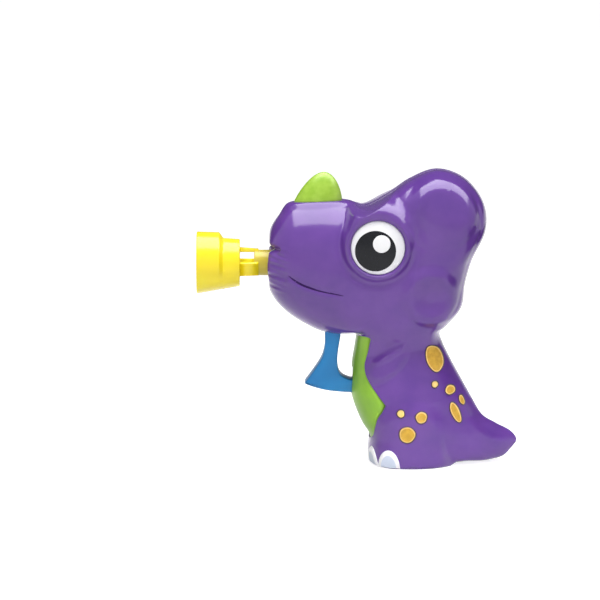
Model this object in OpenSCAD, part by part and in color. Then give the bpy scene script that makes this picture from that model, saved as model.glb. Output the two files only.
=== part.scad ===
// Hand-squeezed dinosaur bubble blower, millimetres.
// x runs from the bubble ring (-) to the tail (+), y is across, z is up from the soles.

/* [Casing] */
// Wall of the two casing halves
wall = 2.2; // [1.8:0.1:2.6]
// Play between pieces that only sit side by side
play = 0.3; // [0.25:0.05:0.4]

/* [Eyes] */
// Eye centre along the toy
eye_x = 9.2; // [7:0.1:11]
// Eye centre height
eye_z = 100.3; // [98:0.1:102]
// Eye radius
eye_r = 12; // [10:0.5:13]
// How far out the top of the eye dome stands
eye_out = 27.2; // [26.5:0.1:28]

/* [Bubble ring] */
// Height of the air line
air_z = 90.5; // [89.5:0.5:91.5]
// Front of the ring
ring_front = -71.8; // [-74:0.1:-70]
// Radius of the front lip
ring_r = 14; // [12:0.5:15]
// Outer radius of the stem in the mouth
stem_r = 5.8; // [5.4:0.1:6]

/* [Trigger] */
// Trigger width
trigger_w = 11; // [9:0.5:12]
// Trigger travel
travel = 5.5; // [4:0.1:5.6]

/* [Gears] */
// Gear module
module_mm = 0.8; // [0.7:0.05:0.85]
// Teeth of every pinion
pinion_teeth = 10; // [10:1:11]
// Teeth of the first wheel
first_teeth = 30; // [26:1:30]
// Teeth of the second wheel
second_teeth = 28; // [24:1:28]
// Axle radius
axle_r = 1; // [0.8:0.1:1.2]

/* [Fan] */
// Fan wheel radius
fan_r = 13; // [11:0.5:13]
// Number of fan blades
blades = 10; // [8:1:12]

/* [Hidden] */
$fn = 48;

purple = [0.42, 0.28, 0.62];
green = [0.58, 0.75, 0.25];
yellow = [0.98, 0.9, 0.25];
blue = [0.15, 0.52, 0.76];
gold = [0.85, 0.68, 0.25];
white = [0.95, 0.95, 0.95];
black = [0.12, 0.12, 0.14];
steel = [0.7, 0.7, 0.72];
grey = [0.8, 0.8, 0.78];

// Loft stations from mouth to heel, one slice across the middle plane each:
// front x, front z, back x, back z, half width, place of the widest point, front and back fullness
stations = [
  [-38.7, 81.6, -38.2, 97.8, 8.5, 0.5, 2, 2],
  [-39.2, 79.4, -39.2, 101.9, 12, 0.5, 2, 2],
  [-38, 76.2, -38.5, 106.4, 14.5, 0.5, 2, 2],
  [-34.9, 71.9, -34.9, 112, 17, 0.5, 2.1, 2.1],
  [-29.9, 67.4, -29.2, 116.9, 19.6, 0.48, 2.1, 2.1],
  [-23.6, 63.4, -20.9, 118.8, 21.6, 0.46, 2.2, 2.1],
  [-16.4, 60, -10.1, 119.2, 23, 0.45, 2.3, 2.1],
  [-9.7, 58.6, -1.1, 117.7, 23.8, 0.45, 2.6, 2.1],
  [-5.6, 58.1, 4.3, 116.6, 24.2, 0.45, 3, 2.4],
  [-2.6, 57.9, 13.3, 121.2, 24.4, 0.45, 3.5, 2.8],
  [-0.4, 57.8, 24.1, 128.5, 24.5, 0.45, 4, 3],
  [0.5, 57.7, 36.2, 132.7, 24.5, 0.45, 4, 3],
  [0.9, 57.6, 48.4, 128.6, 24.4, 0.45, 4, 3],
  [1.1, 57.5, 56.8, 118, 24.3, 0.45, 4, 3],
  [1.2, 57.4, 57.8, 105.9, 24.1, 0.45, 4, 3],
  [1.2, 57.3, 51.9, 92.9, 23.8, 0.45, 4, 3],
  [1.2, 57.2, 48.8, 82, 23.4, 0.45, 4, 3],
  [1.1, 57.1, 47.2, 71.3, 22.4, 0.45, 4, 3],
  [0.7, 56.9, 41.2, 63.6, 20.5, 0.45, 4, 3],
  [-0.4, 56.3, 37.6, 59.4, 17, 0.45, 3.5, 2.8],
  [-1.6, 51, 38.9, 54.2, 16.5, 0.45, 3, 2.5],
  [-2.5, 45.6, 42.9, 46, 17.8, 0.45, 2.6, 2.3],
  [-2.6, 39.3, 47.9, 36.8, 19.5, 0.45, 2.5, 2],
  [-2.9, 32.6, 52.5, 28.5, 21, 0.45, 2.5, 1.8],
  [-0.9, 25.4, 56.8, 21.5, 21.3, 0.42, 2.5, 1.6],
  [2.1, 18.6, 63, 17.6, 21.2, 0.38, 2.6, 1.4],
  [5.4, 13.2, 69.6, 14.1, 21, 0.35, 2.8, 1.25],
  [5.3, 7.8, 72.6, 10, 21, 0.33, 3, 1.2],
  [5.6, 2.9, 69.6, 6, 21, 0.33, 3, 1.2],
  [6.8, 0.9, 63, 1.7, 20.8, 0.35, 3, 1.3],
  [8.8, 0, 56, 0, 19.6, 0.38, 3, 1.4],
];
last = len(stations) - 1;
// Facets along the casing, across the outside of one half and across its inside
slices = 70;
outer_steps = 14;
inner_steps = 5;
// The hollow starts behind the lips and ends above the soles
hollow_first = 2.5;
hollow_last = 27.9;
// Share of each slice left open for the belly panel
belly_edge = [[18.4, 0], [18.9, 0.16], [19.6, 0.168], [20.3, 0.15], [20.9, 0.133], [21.6, 0.138],
  [22.2, 0.175], [22.8, 0.227], [23.4, 0.27], [23.9, 0.215], [24.4, 0.153], [25.2, 0.085], [25.9, 0.03],
  [26.3, 0]];
belly_first = 18;
belly_edge_last = 26.3;

function spline(a, b, c, d, u) =
  b + u / 2 * (c - a + u * (2 * a - 5 * b + 4 * c - d + u * (3 * (b - c) + d - a)));

function station(s) =
  let (i = min(floor(s), last - 1))
  spline(stations[max(i - 1, 0)], stations[i], stations[i + 1], stations[min(i + 2, last)], s - i);

function smooth(a, b, v) =
  let (u = min(max((v - a) / (b - a), 0), 1))
  u * u * (3 - 2 * u);

function ellipse_r(x, z, cx, cz, a, b, tilt) =
  let (u = (x - cx) * cos(tilt) + (z - cz) * sin(tilt), v = (z - cz) * cos(tilt) - (x - cx) * sin(tilt))
  sqrt(pow(u / a, 2) + pow(v / b, 2));

function arch(t, peak, front_n, back_n) =
  t < peak
    ? pow(max(1 - pow(1 - max(t, 0) / peak, front_n), 0), 1 / front_n)
    : pow(max(1 - pow((t - peak) / (1 - peak), back_n), 0), 1 / back_n);

// Raised and sunk forms of the outside: two frill pads, the groove behind them, arm, thigh
function relief(x, z) =
  let (upper = norm([x - 37.5, z - 114.5]), lower = norm([x - 33, z - 80.5]), rim = smooth(26, 34, x))
  1.4 * smooth(16.4, 14.2, upper) + smooth(15, 0, upper)
    - 0.7 * rim * exp(-pow((upper - 17.2) / 1.6, 2))
    + 1.5 * smooth(14.5, 5, lower)
    + 1.8 * smooth(1.15, 0.6, ellipse_r(x, z, 13.5, 46.5, 12, 5.5, 40))
    + 2.6 * smooth(1.08, 0.8, ellipse_r(x, z, 24, 10, 19.5, 19.5, 0));

// The eye stands on a low cone
function eye_mound(x, z) =
  eye_out - 0.9 - 1.05 * max(norm([x - eye_x, z - eye_z]) - eye_r - 2, 0);

function outside_y(s, t, x, z) =
  let (q = station(s), base = q[4] * arch(t, q[5], q[6], q[7]))
  max(base + relief(x, z) * min(base / 8, 1), eye_mound(x, z) * min(base / 11, 1));

function across(s, t) =
  let (q = station(s))
  [q[0] + t * (q[2] - q[0]), q[1] + t * (q[3] - q[1])];

// Slice through a point of the side view, by halving
function slice_through(p, low, high, turns) =
  let (mid = (low + high) / 2, q = station(mid))
  turns == 0
    ? mid
    : (q[2] - q[0]) * (p.y - q[1]) - (q[3] - q[1]) * (p.x - q[0]) > 0
      ? slice_through(p, low, mid, turns - 1)
      : slice_through(p, mid, high, turns - 1);

function surface_y(x, z) =
  let (s = slice_through([x, z], 0, last, 22), q = station(s), along = [q[2] - q[0], q[3] - q[1]],
       t = ([x, z] - [q[0], q[1]]) * along / (along * along))
  outside_y(s, t, x, z);

function even(j, n) = (1 - cos(180 * j / n)) / 2;

// The two halves come closest on the outer edge of the seam
seam_gap = 0.05;
seam_relief = 0.3;

function outer_slice(s) =
  let (edge = lookup(s, belly_edge))
  [for (j = [0 : outer_steps])
    let (t = edge + (1 - edge) * even(j, outer_steps), p = across(s, t))
    [p.x, -max(outside_y(s, t, p.x, p.y), seam_gap), p.y]];

// Stations of the inside: the same as outside along the belly panel, drawn in at the lips and the soles
function inner_station(s) =
  s < belly_first ? hollow_first + (belly_first - hollow_first) * s / belly_first
  : s > belly_edge_last
    ? belly_edge_last + (hollow_last - belly_edge_last) * (s - belly_edge_last) / (last - belly_edge_last)
  : s;

function inner_slice(s) =
  let (q = station(s), inset = wall / norm([q[2] - q[0], q[3] - q[1]]), edge = lookup(s, belly_edge))
  [for (j = [0 : inner_steps])
    let (u = even(j, inner_steps), first = max(edge, inset), t = first + (1 - inset - first) * u,
         p = across(s, t), inside = (t - inset) / (1 - 2 * inset))
    [p.x, -max((q[4] - wall) * arch(inside, q[5], q[6], q[7]), seam_relief), p.y]];

// One half shell: outside, inside, the edge between them and their ends
module half_shell() {
  n = outer_steps + 1;
  m = inner_steps + 1;
  inner_0 = (slices + 1) * n;
  outer_k = slices * n;
  inner_k = inner_0 + slices * m;
  points = concat(
    [for (k = [0 : slices]) each outer_slice(k * last / slices)],
    [for (k = [0 : slices]) each inner_slice(inner_station(k * last / slices))]);
  outside = [for (k = [0 : slices - 1]) for (j = [0 : outer_steps - 1])
    let (a = k * n + j)
    each [[a, a + 1, a + n + 1], [a, a + n + 1, a + n]]];
  inside = [for (k = [0 : slices - 1]) for (j = [0 : inner_steps - 1])
    let (a = inner_0 + k * m + j)
    each [[a, a + m + 1, a + 1], [a, a + m, a + m + 1]]];
  front_edge = [for (k = [0 : slices - 1])
    let (a = k * n, c = inner_0 + k * m)
    each [[a, a + n, c + m], [a, c + m, c]]];
  back_edge = [for (k = [0 : slices - 1])
    let (a = k * n + outer_steps, c = inner_0 + k * m + inner_steps)
    each [[c, c + m, a + n], [c, a + n, a]]];
  ends = [
    [for (j = [outer_steps : -1 : 0]) j],
    [for (j = [0 : outer_steps]) outer_k + j],
    [for (j = [0 : inner_steps]) inner_0 + j],
    [for (j = [inner_steps : -1 : 0]) inner_k + j],
    [outer_steps, 0, inner_0, inner_0 + inner_steps],
    [outer_k, outer_k + outer_steps, inner_k + inner_steps, inner_k]];
  polyhedron(points, concat(outside, inside, front_edge, back_edge, ends));
}

// Round piece along x, from one x to another
module along_x(from, to, r, z) translate([from, 0, z]) rotate([0, 90, 0]) cylinder(h = to - from, r = r);

// Round piece along y, from one y to another
module along_y(x, z, from, to, r) translate([x, to, z]) rotate([90, 0, 0]) cylinder(h = to - from, r = r);

// Flat shape drawn in the side view, from one y to another
module side_slab(from, to) translate([0, to, 0]) rotate([90, 0, 0]) linear_extrude(to - from) children();

// Casing screws: x, z
screws = [[-24, 105], [-22, 72], [42, 122], [38, 28.5], [20, 8], [55, 9]];
head_y = 6;
boss_r = 3.2;
well_r = 4.2;
// Screws that hold the blower to the left half, x and z
ears = [[43.5, 94], [29, 77.5]];
ear_y = -6.5;

module casing_openings() {
  $fn = 32;
  translate([-45, 0, air_z]) rotate([4, 90, 0]) cylinder(h = 15, r = stem_r + play);
  translate([-15.2, -trigger_w / 2 - 0.6, 55.5]) cube([14, trigger_w + 1.2, 8.5]);
  along_y(eye_x, eye_z, -40, -eye_out + 4.6, eye_r + 0.25);
  translate([horn_x, 0, 109]) scale([1, horn_flat, 1]) rotate(4) cylinder(h = 30, r = horn_r + play);
}

// Rim round the eye
module eye_rim() translate([eye_x, -eye_out + 2, eye_z]) rotate([90, 0, 0])
  rotate_extrude($fn = 32) translate([eye_r + 1.7, 0]) circle(r = 1.6, $fn = 10);

// Boss with draft that ends inside the wall all round
function boss_end(p, r) =
  min([for (a = [0 : 45 : 315]) surface_y(p.x + r * cos(a), p.y + r * sin(a))]) - 0.7;
module boss(p, tip, r) {
  end = boss_end(p, r + 0.6);
  hull() {
    along_y(p.x, p.y, -end, -end + 0.1, r + 0.6);
    along_y(p.x, p.y, tip - 0.1, tip, r);
  }
}

// Drafted wall across one half, from the skin to near the middle
module cross_wall(x, z, long, high, tip) {
  reach = min([for (p = [0, long], q = [0, high]) surface_y(x + p, z + q)]) - 0.9;
  hull() {
    translate([x, -reach, z]) cube([long, 0.1, high]);
    translate([x + 0.2, tip - 0.1, z + 0.2]) cube([long - 0.4, 0.1, high - 0.4]);
  }
}

// Spring seat, and the two shelves that guide the trigger's lower arm
spring_z = 35.2;
spring_seat = 32;
module inner_walls() {
  cross_wall(spring_seat, spring_z - 6, 2.4, 12, -0.1);
  cross_wall(11.4, 38.3, 2.4, 1.6, -1.5);
  cross_wall(11.4, 30.3, 2.4, 1.6, -1.5);
}

module bare_half() {
  difference() {
    union() {
      half_shell();
      eye_rim();
    }
    casing_openings();
  }
  inner_walls();
}

module left_casing() color(purple) difference() {
  $fn = 16;
  union() {
    bare_half();
    for (p = screws) boss(p, -0.1, boss_r);
    for (p = ears) boss(p, ear_y - play, boss_r);
  }
  for (p = screws) along_y(p.x, p.y, -9, 1, 1.25);
  for (p = ears) along_y(p.x, p.y, ear_y - 9, ear_y, 1.25);
}

module right_casing() color(purple) mirror([0, 1, 0]) difference() {
  $fn = 16;
  union() {
    bare_half();
    for (p = screws) boss(p, -0.1, well_r);
  }
  for (p = screws) {
    along_y(p.x, p.y, -40, 1, 1.5);
    along_y(p.x, p.y, -40, -head_y, well_r - 1.2);
  }
}

module casing_screws() color(steel)
  for (p = screws) {
    along_y(p.x, p.y, -8, head_y, 1.2);
    along_y(p.x, p.y, head_y, head_y + 1.8, 2.6);
  }

// Belly panel: a bent sheet between the two halves
belly_steps = 6;
belly_rows = [ceil(19 * slices / last) : floor(25.6 * slices / last)];
belly_t = 1.8;
function belly_ring(s) =
  let (q = station(s), len = norm([q[2] - q[0], q[3] - q[1]]), inset = belly_t / len,
       edge = lookup(s, belly_edge) - play / len)
  concat(
    [for (j = [-belly_steps : belly_steps])
      let (t = edge * pow(abs(j) / belly_steps, 1.6), p = across(s, t))
      [p.x, sign(j) * max(q[4] * arch(t, q[5], q[6], q[7]) - 0.4, 0), p.y]],
    [for (j = [belly_steps : -1 : -belly_steps])
      let (u = pow(abs(j) / belly_steps, 1.6), t = inset + (edge - inset) * u, p = across(s, t))
      [p.x, sign(j) * (q[4] - belly_t - 0.4) * arch(t - inset, q[5], q[6], q[7]), p.y]]);

module belly_sheet() {
  n = 4 * belly_steps + 2;
  points = [for (k = belly_rows) each belly_ring(k * last / slices)];
  rows = len(points) / n - 1;
  sides = [for (k = [0 : rows - 1]) for (j = [0 : n - 1])
    let (a = k * n + j, b = k * n + (j + 1) % n)
    each [[a, b + n, b], [a, a + n, b + n]]];
  caps = [for (j = [0 : n / 2 - 2])
    let (a = j, b = n - 1 - j, c = rows * n)
    each [[a, b - 1, b], [a, a + 1, b - 1], [c + a, c + b, c + b - 1], [c + a, c + b - 1, c + a + 1]]];
  polyhedron(points, concat(sides, caps));
}

module belly_panel() color(green) difference() {
  belly_sheet();
  translate([-8, -trigger_w / 2 - 0.4, 31.8]) cube([30, trigger_w + 0.8, 12]);
}

// Horn: a leaning cone, narrow across, with a plug and a holding bar below
horn_x = -16.9;
horn_r = 11.2;
horn_h = 15.4;
horn_flat = 0.57;
module horn() color(green) {
  translate([horn_x, 0, 116.6]) scale([1, horn_flat, 1]) rotate([0, 5, 0]) rotate_extrude()
    polygon(concat([[0, 0]], [for (i = [0 : 12]) let (u = 1 - pow(1 - i / 12, 2))
      [i == 12 ? 0 : horn_r * pow(1 - pow(u, 1.2), 0.52), horn_h * u]]));
  translate([horn_x, 0, 110.4]) scale([1, horn_flat, 1]) cylinder(h = 7, r = horn_r - 1.2);
  translate([horn_x - 13, -3, 110.4]) cube([26, 6, 1.6]);
}

// Eyes: domed white disc, dark disc let into it, small white dot in that
dome_r = (eye_r * eye_r + 4.84) / 4.4;
pupil = [eye_x - 1.1, eye_z - 1.3];
pupil_r = 9.2;
glint = [eye_x + 1.6, eye_z + 2];
glint_r = 4;

module dome(proud) translate([eye_x, dome_r - eye_out, eye_z]) sphere(r = dome_r + proud, $fn = 160);

module eye() difference() {
  intersection() {
    along_y(eye_x, eye_z, -eye_out - 3, -eye_out + 4.4, eye_r);
    dome(0);
  }
  along_y(pupil.x, pupil.y, -eye_out - 3, -eye_out + 2.4, pupil_r);
}

module dark_disc() difference() {
  intersection() {
    along_y(pupil.x, pupil.y, -eye_out - 3, -eye_out + 2.4, pupil_r, $fn = 120);
    dome(0.15);
  }
  along_y(glint.x, glint.y, -eye_out - 3, -eye_out + 1.4, glint_r, $fn = 120);
}

module glint_dot() intersection() {
  along_y(glint.x, glint.y, -eye_out - 3, -eye_out + 1.4, glint_r, $fn = 120);
  dome(0.25);
}

module left_eye() color(white) eye();
module right_eye() color(white) mirror([0, 1, 0]) eye();
module left_pupil() color(black) dark_disc();
module right_pupil() color(black) mirror([0, 1, 0]) dark_disc();
module eye_glints() color(white) {
  glint_dot();
  mirror([0, 1, 0]) glint_dot();
}

// Spots on the hip and back: x, z, half length, half width, tilt
spots = [[34.9, 49, 6, 3.7, 110], [35, 37.7, 1.4, 1.4, 0], [42, 34.8, 2.2, 2, 0],
  [47.3, 29.8, 2.2, 1, 112], [44.4, 24.6, 4.9, 1.8, 114], [19.6, 25.4, 1.6, 1.6, 0],
  [28.8, 23.6, 2.5, 2.5, 0], [22.5, 15.9, 3.6, 3.6, 0]];
spot_sides = 10;

// Low cushion that follows the casing
module cushion(x, z, a, b, tilt) {
  rings = [[0.7, 0.5], [1, 0.2], [1, -0.6]];
  points = concat(
    [for (r = rings) for (i = [0 : spot_sides - 1])
      let (c = 360 * i / spot_sides, u = a * r[0] * cos(c), v = b * r[0] * sin(c),
           px = x + u * cos(tilt) - v * sin(tilt), pz = z + u * sin(tilt) + v * cos(tilt))
      [px, -surface_y(px, pz) - r[1], pz]],
    [[x, -surface_y(x, z) - 0.6, z], [x, -surface_y(x, z) + 0.6, z]]);
  top = 3 * spot_sides;
  faces = [for (i = [0 : spot_sides - 1])
    let (j = (i + 1) % spot_sides, n = spot_sides)
    each [[top, j, i], [i, j, n + j], [i, n + j, n + i], [n + i, n + j, 2 * n + j],
      [n + i, 2 * n + j, 2 * n + i], [2 * n + i, 2 * n + j, top + 1]]];
  polyhedron(points, faces);
}

module left_spots() color(gold) for (p = spots) cushion(p[0], p[1], p[2], p[3], p[4]);
module right_spots() color(gold) mirror([0, 1, 0]) left_spots();

// Toenails: x, y, turn about z
nails = [[14.6, -21.2, 14], [8, -13, 66]];
module nail_pair() for (p = nails)
  difference() {
    translate([p[0], p[1], 1.8]) rotate([0, 0, -p[2]]) scale([5.2, 2.6, 6.6]) sphere(r = 1, $fn = 16);
    translate([p[0] - 10, p[1] - 10, -10]) cube([20, 20, 10.3]);
  }

module toenails() color(white) {
  nail_pair();
  mirror([0, 1, 0]) nail_pair();
}

// Bubble ring: stepped funnel, three struts (turn, width) and the stem that plugs into the air duct
ring_back = ring_front + 19.4;
stem_front = -46;
stem_back = -25;
module bubble_ring() color(yellow) {
  translate([0, 0, air_z]) rotate([0, 90, 0]) rotate_extrude() polygon([
    [ring_r - 1.4, ring_front + 0.4], [ring_r - 0.6, ring_front], [ring_r, ring_front + 0.6],
    [ring_r - 0.4, ring_front + 10], [ring_r - 1, ring_front + 10.6], [ring_r - 3.1, ring_front + 11.6],
    [ring_r - 3.5, ring_back - 0.5], [ring_r - 4, ring_back], [stem_r + 0.3, ring_back],
    [stem_r + 0.3, ring_back - 1.6], [ring_r - 5, ring_back - 2], [ring_r - 4.6, ring_front + 12.4],
    [ring_r - 2.2, ring_front + 11], [ring_r - 1.6, ring_front + 9]]);
  difference() {
    along_x(stem_front, stem_back, stem_r, air_z);
    along_x(stem_front - 1, stem_back + 1, stem_r - 1.3, air_z);
  }
  for (p = [[0, 3.2], [112, 6.5], [248, 6.5]])
    translate([0, 0, air_z]) rotate([p[0], 0, 0])
      translate([ring_back - 1.2, -p[1] / 2, stem_r - 1]) cube([stem_front - ring_back + 3, p[1], 2]);
  for (a = [0 : 30 : 330])
    translate([0, 0, air_z]) rotate([a, 0, 0])
      translate([ring_front + 1.5, -0.4, ring_r - 2.2]) cube([7, 0.8, 1.1]);
}

// Gear train, centres in the side view
pinion_r = module_mm * pinion_teeth / 2;
first_at = [14, 73];
second_at = first_at + (pinion_r + module_mm * first_teeth / 2) * [cos(60), sin(60)];
fan_at = second_at + (pinion_r + module_mm * second_teeth / 2) * [0, 1];
pressure = 25;
thinning = 0.1;
// Layers across: rack, first wheel, second wheel
layer_1 = 7.3;
layer_2 = 10.9;
layer_3 = 13.7;
rack_w = 3;
wheel_w = 2.2;
plate_in = 6.5;
plate_out = 16.6;

function unwind(rb, r) = let (a = acos(min(rb / r, 1))) tan(a) * 180 / PI - a;

// One gear outline with stub teeth, a tooth centred at the given angle
module gear_outline(teeth, turn) {
  r = module_mm * teeth / 2;
  rb = r * cos(pressure);
  root = r - module_mm;
  tip = r + 0.8 * module_mm;
  low = max(root, rb);
  half = 90 / teeth - thinning / 2 / r * 180 / PI + unwind(rb, r);
  flank = [for (i = [0 : 4]) let (q = low + (tip - low) * i / 4) [q, half - unwind(rb, q)]];
  tooth = concat([[root, -half]], [for (p = flank) [p[0], -p[1]]],
    [for (i = [4 : -1 : 0]) flank[i]], [[root, half]]);
  polygon([for (k = [0 : teeth - 1]) for (p = tooth)
    let (a = turn + 360 * k / teeth + p[1]) p[0] * [cos(a), sin(a)]]);
}

module gear_layer(at, teeth, turn, from, to)
  side_slab(from, to) translate(at) gear_outline(teeth, turn);

// Turn that meshes a driven gear with its driver
function mesh_turn(line, driver_turn, driver_teeth, teeth) =
  line + 180 - 180 / teeth + (line - driver_turn) * driver_teeth / teeth;

module first_gear() color(white) difference() {
  union() {
    gear_layer(first_at, pinion_teeth, 90 + 180 / pinion_teeth, layer_1 - 0.3, layer_2);
    gear_layer(first_at, first_teeth, 0, layer_2, layer_2 + wheel_w);
    along_y(first_at.x, first_at.y, layer_2, plate_out - 0.3, 2.2);
  }
  along_y(first_at.x, first_at.y, 0, 30, axle_r + 0.05);
}

module second_gear() color(yellow) difference() {
  union() {
    gear_layer(second_at, pinion_teeth, mesh_turn(60, 0, first_teeth, pinion_teeth),
      layer_2 - 0.2, layer_3);
    gear_layer(second_at, second_teeth, 0, layer_3, layer_3 + wheel_w);
    along_y(second_at.x, second_at.y, layer_1 - 0.3, plate_out - 0.3, 2.2);
  }
  along_y(second_at.x, second_at.y, 0, 30, axle_r + 0.05);
}

module fan_pinion() color(white) difference() {
  gear_layer(fan_at, pinion_teeth, mesh_turn(90, 0, second_teeth, pinion_teeth),
    layer_3 - 0.2, plate_out - 0.3);
  along_y(fan_at.x, fan_at.y, 0, 30, axle_r);
}

module gear_axles() color(steel)
  for (p = [first_at, second_at]) along_y(p.x, p.y, plate_in - 1.8, plate_out + 1.6, axle_r);

module fan_shaft() color(steel) along_y(fan_at.x, fan_at.y, -4.5, plate_out + 1.6, axle_r);

// Blower: a scroll round the fan that opens towards the mouth
scroll_low = 18.2;
tongue_r = fan_r + 1.2;
outlet_h = 13;
outlet_x = 2;
scroll_wall = 1.4;
outlet_z = fan_at.y - scroll_low;
tongue = 180 + asin((scroll_low - outlet_h) / tongue_r);
module scroll(more) polygon(concat(
  [for (a = [tongue : -11 : -90])
    let (r = tongue_r + more + (scroll_low - tongue_r) * (tongue - a) / (tongue + 90))
    fan_at + r * [cos(a), sin(a)]],
  [[fan_at.x, outlet_z - more], [outlet_x, outlet_z - more], [outlet_x, outlet_z + outlet_h + more]]));

posts = [[30.5, 70], [8.5, 100], [36.5, 101]];
module fan_housing() color(grey) difference() {
  union() {
    difference() {
      side_slab(ear_y, plate_in) scroll(scroll_wall);
      side_slab(ear_y - 1, plate_in - 2) scroll(0);
      translate([outlet_x - 1, ear_y, outlet_z]) cube([4, plate_in - 2 - ear_y, outlet_h]);
    }
    side_slab(plate_in - 2, plate_in)
      polygon([[9, 67.5], [29, 66.5], [34, 68], [35, 73], [38, 92], [12, 92], [9, 83]]);
    translate([6.2, plate_in - 1, 80.9]) cube([11.8, 4, 1.4]);
    for (p = posts) along_y(p.x, p.y, plate_in - 1, plate_out, 2.5);
    for (p = ears) along_y(p.x, p.y, ear_y, ear_y + 2.4, 3.4);
    translate([38, ear_y, 91.5]) cube([5.5, 2.4, 5]);
    translate([26.5, ear_y, 77.5]) cube([5, 2.4, 6]);
  }
  for (p = [first_at, second_at]) along_y(p.x, p.y, 0, 8, axle_r);
  along_y(fan_at.x, fan_at.y, 0, 8, axle_r + 0.05);
  for (p = posts) along_y(p.x, p.y, 9, 20, 1.05);
  for (p = ears) along_y(p.x, p.y, -20, 0, 1.3);
}

module fan_cover() color(grey) difference() {
  side_slab(ear_y - 1.5, ear_y) scroll(scroll_wall);
  along_y(fan_at.x, fan_at.y, -20, 0, 8);
}

plate_edge = [[9.5, 69], [13, 68], [29, 66.5], [33.5, 68], [34.5, 73], [40, 98], [38, 104.5], [22, 107],
  [7, 104.5], [4, 101], [9, 89]];
module gear_plate() color(grey) difference() {
  side_slab(plate_out, plate_out + 1.8) polygon(plate_edge);
  for (p = [first_at, second_at]) along_y(p.x, p.y, 0, 30, axle_r);
  along_y(fan_at.x, fan_at.y, 0, 30, axle_r + 0.05);
  for (p = posts) along_y(p.x, p.y, 0, 30, 1.3);
}

// The same small screw holds the plate and the blower
module gearbox_screws() color(steel) {
  for (p = posts) {
    along_y(p.x, p.y, 10, plate_out + 1.8, 1);
    along_y(p.x, p.y, plate_out + 1.8, plate_out + 3, 1.9);
  }
  for (p = ears) {
    along_y(p.x, p.y, ear_y - 8, ear_y + 2.4, 1);
    along_y(p.x, p.y, ear_y + 2.4, ear_y + 3.6, 1.9);
  }
}

module fan_wheel() color(yellow) {
  difference() {
    union() {
      along_y(fan_at.x, fan_at.y, 2.2, 3.4, fan_r);
      along_y(fan_at.x, fan_at.y, -5.5, 2.2, 3);
    }
    along_y(fan_at.x, fan_at.y, -4.5, 5, axle_r);
  }
  for (i = [0 : blades - 1])
    side_slab(-5.5, 2.2) translate(fan_at) rotate(360 * i / blades) polygon(concat(
      [for (k = [0 : 5]) let (r = 5 + (fan_r - 5.4) * k / 5) r * [cos(24 * k / 5), sin(24 * k / 5)]],
      [for (k = [5 : -1 : 0]) let (r = 5 + (fan_r - 5.4) * k / 5, a = 24 * k / 5 + 0.9 / r * 57.3)
        r * [cos(a), sin(a)]]));
}

// Duct from the square outlet to the round stem
duct_wall = 1.2;
module duct_form(more, ends) {
  box = [outlet_z - scroll_wall - play - more, outlet_z + outlet_h + scroll_wall + play + more];
  left = ear_y - 1.5 - play - more;
  right = plate_in + play + more;
  translate([outlet_x - 0.4, left, box[0]]) cube([3.4 + ends, right - left, box[1] - box[0]]);
  hull() {
    translate([outlet_x - 0.5, left, box[0]]) cube([0.1, right - left, box[1] - box[0]]);
    along_x(-22.1, -22, stem_r + play + more, air_z);
  }
  along_x(-32 - ends, -21.9, stem_r + play + more, air_z);
}

module air_duct() color(grey) difference() {
  duct_form(duct_wall, 0);
  duct_form(0, 1);
}

// Trigger: finger blade, upper shank with the rack, lower arm with the spring pin
rack_z = first_at.y + pinion_r;
rack_top = 80.6;
blade_front = [[-14.2, 58], [-14.3, 53], [-15.6, 48], [-18.6, 43], [-23.2, 36.6]];
blade_rear = [[-2.9, 38], [-6.2, 39.5], [-8, 42], [-8.6, 46], [-8.3, 51], [-7.2, 58]];
arm_end = 13;
function run(points, n) = [for (i = [0 : len(points) - 2]) for (k = [0 : n - 1])
  spline(points[max(i - 1, 0)], points[i], points[i + 1], points[min(i + 2, len(points) - 1)], k / n)];

function rack_tooth(x) =
  let (half = PI * module_mm / 4 - thinning / 2, low = module_mm * tan(pressure), tip = 0.8 * low)
  [[x - half - low, rack_z + module_mm], [x - half + tip, rack_z - 0.8 * module_mm],
    [x + half - tip, rack_z - 0.8 * module_mm], [x + half + low, rack_z + module_mm]];

module trigger() color(blue) {
  side_slab(-trigger_w / 2, trigger_w / 2) polygon(concat(
    run(blade_front, 4),
    run([[-23.2, 36.6], [-22.6, 35.9], [-18, 34.3], [-12, 33], [-3, 32.2]], 3),
    [[arm_end, 32.2], [arm_end, 38]],
    run(blade_rear, 3),
    [[-7.2, 58], [-7.2, rack_top], [-14.2, rack_top]]));
  translate([-14.2, 0, 75.5]) cube([7, layer_1 + rack_w, rack_top - 75.5]);
  side_slab(layer_1, layer_1 + rack_w) polygon(concat(
    [[20, rack_top], [-10, rack_top], [-10, rack_z + module_mm]],
    [for (k = [-4 : 1]) each rack_tooth(first_at.x + PI * module_mm * k)],
    [[20, rack_z + module_mm]]));
  along_x(arm_end - 1, arm_end + 4, 2.2, spring_z);
}

// Return spring
coil_r = 3.4;
wire_r = 0.45;
turns = 7;
coil_steps = 12;
wire_sides = 6;
module return_spring() color(steel) {
  from = arm_end + wire_r + 0.05;
  pitch = (spring_seat - arm_end - 2 * wire_r - 0.1) / turns;
  rows = turns * coil_steps;
  points = [for (i = [0 : rows]) for (j = [0 : wire_sides - 1])
    let (a = 360 * i / coil_steps, b = 360 * j / wire_sides, r = coil_r + wire_r * cos(b))
    [from + pitch * i / coil_steps + wire_r * sin(b), r * cos(a), spring_z + r * sin(a)]];
  sides = [for (i = [0 : rows - 1]) for (j = [0 : wire_sides - 1])
    let (a = i * wire_sides + j, b = i * wire_sides + (j + 1) % wire_sides)
    each [[a, b + wire_sides, b], [a, a + wire_sides, b + wire_sides]]];
  caps = [[for (j = [0 : wire_sides - 1]) j], [for (j = [wire_sides - 1 : -1 : 0]) rows * wire_sides + j]];
  polyhedron(points, concat(sides, caps));
}

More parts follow.
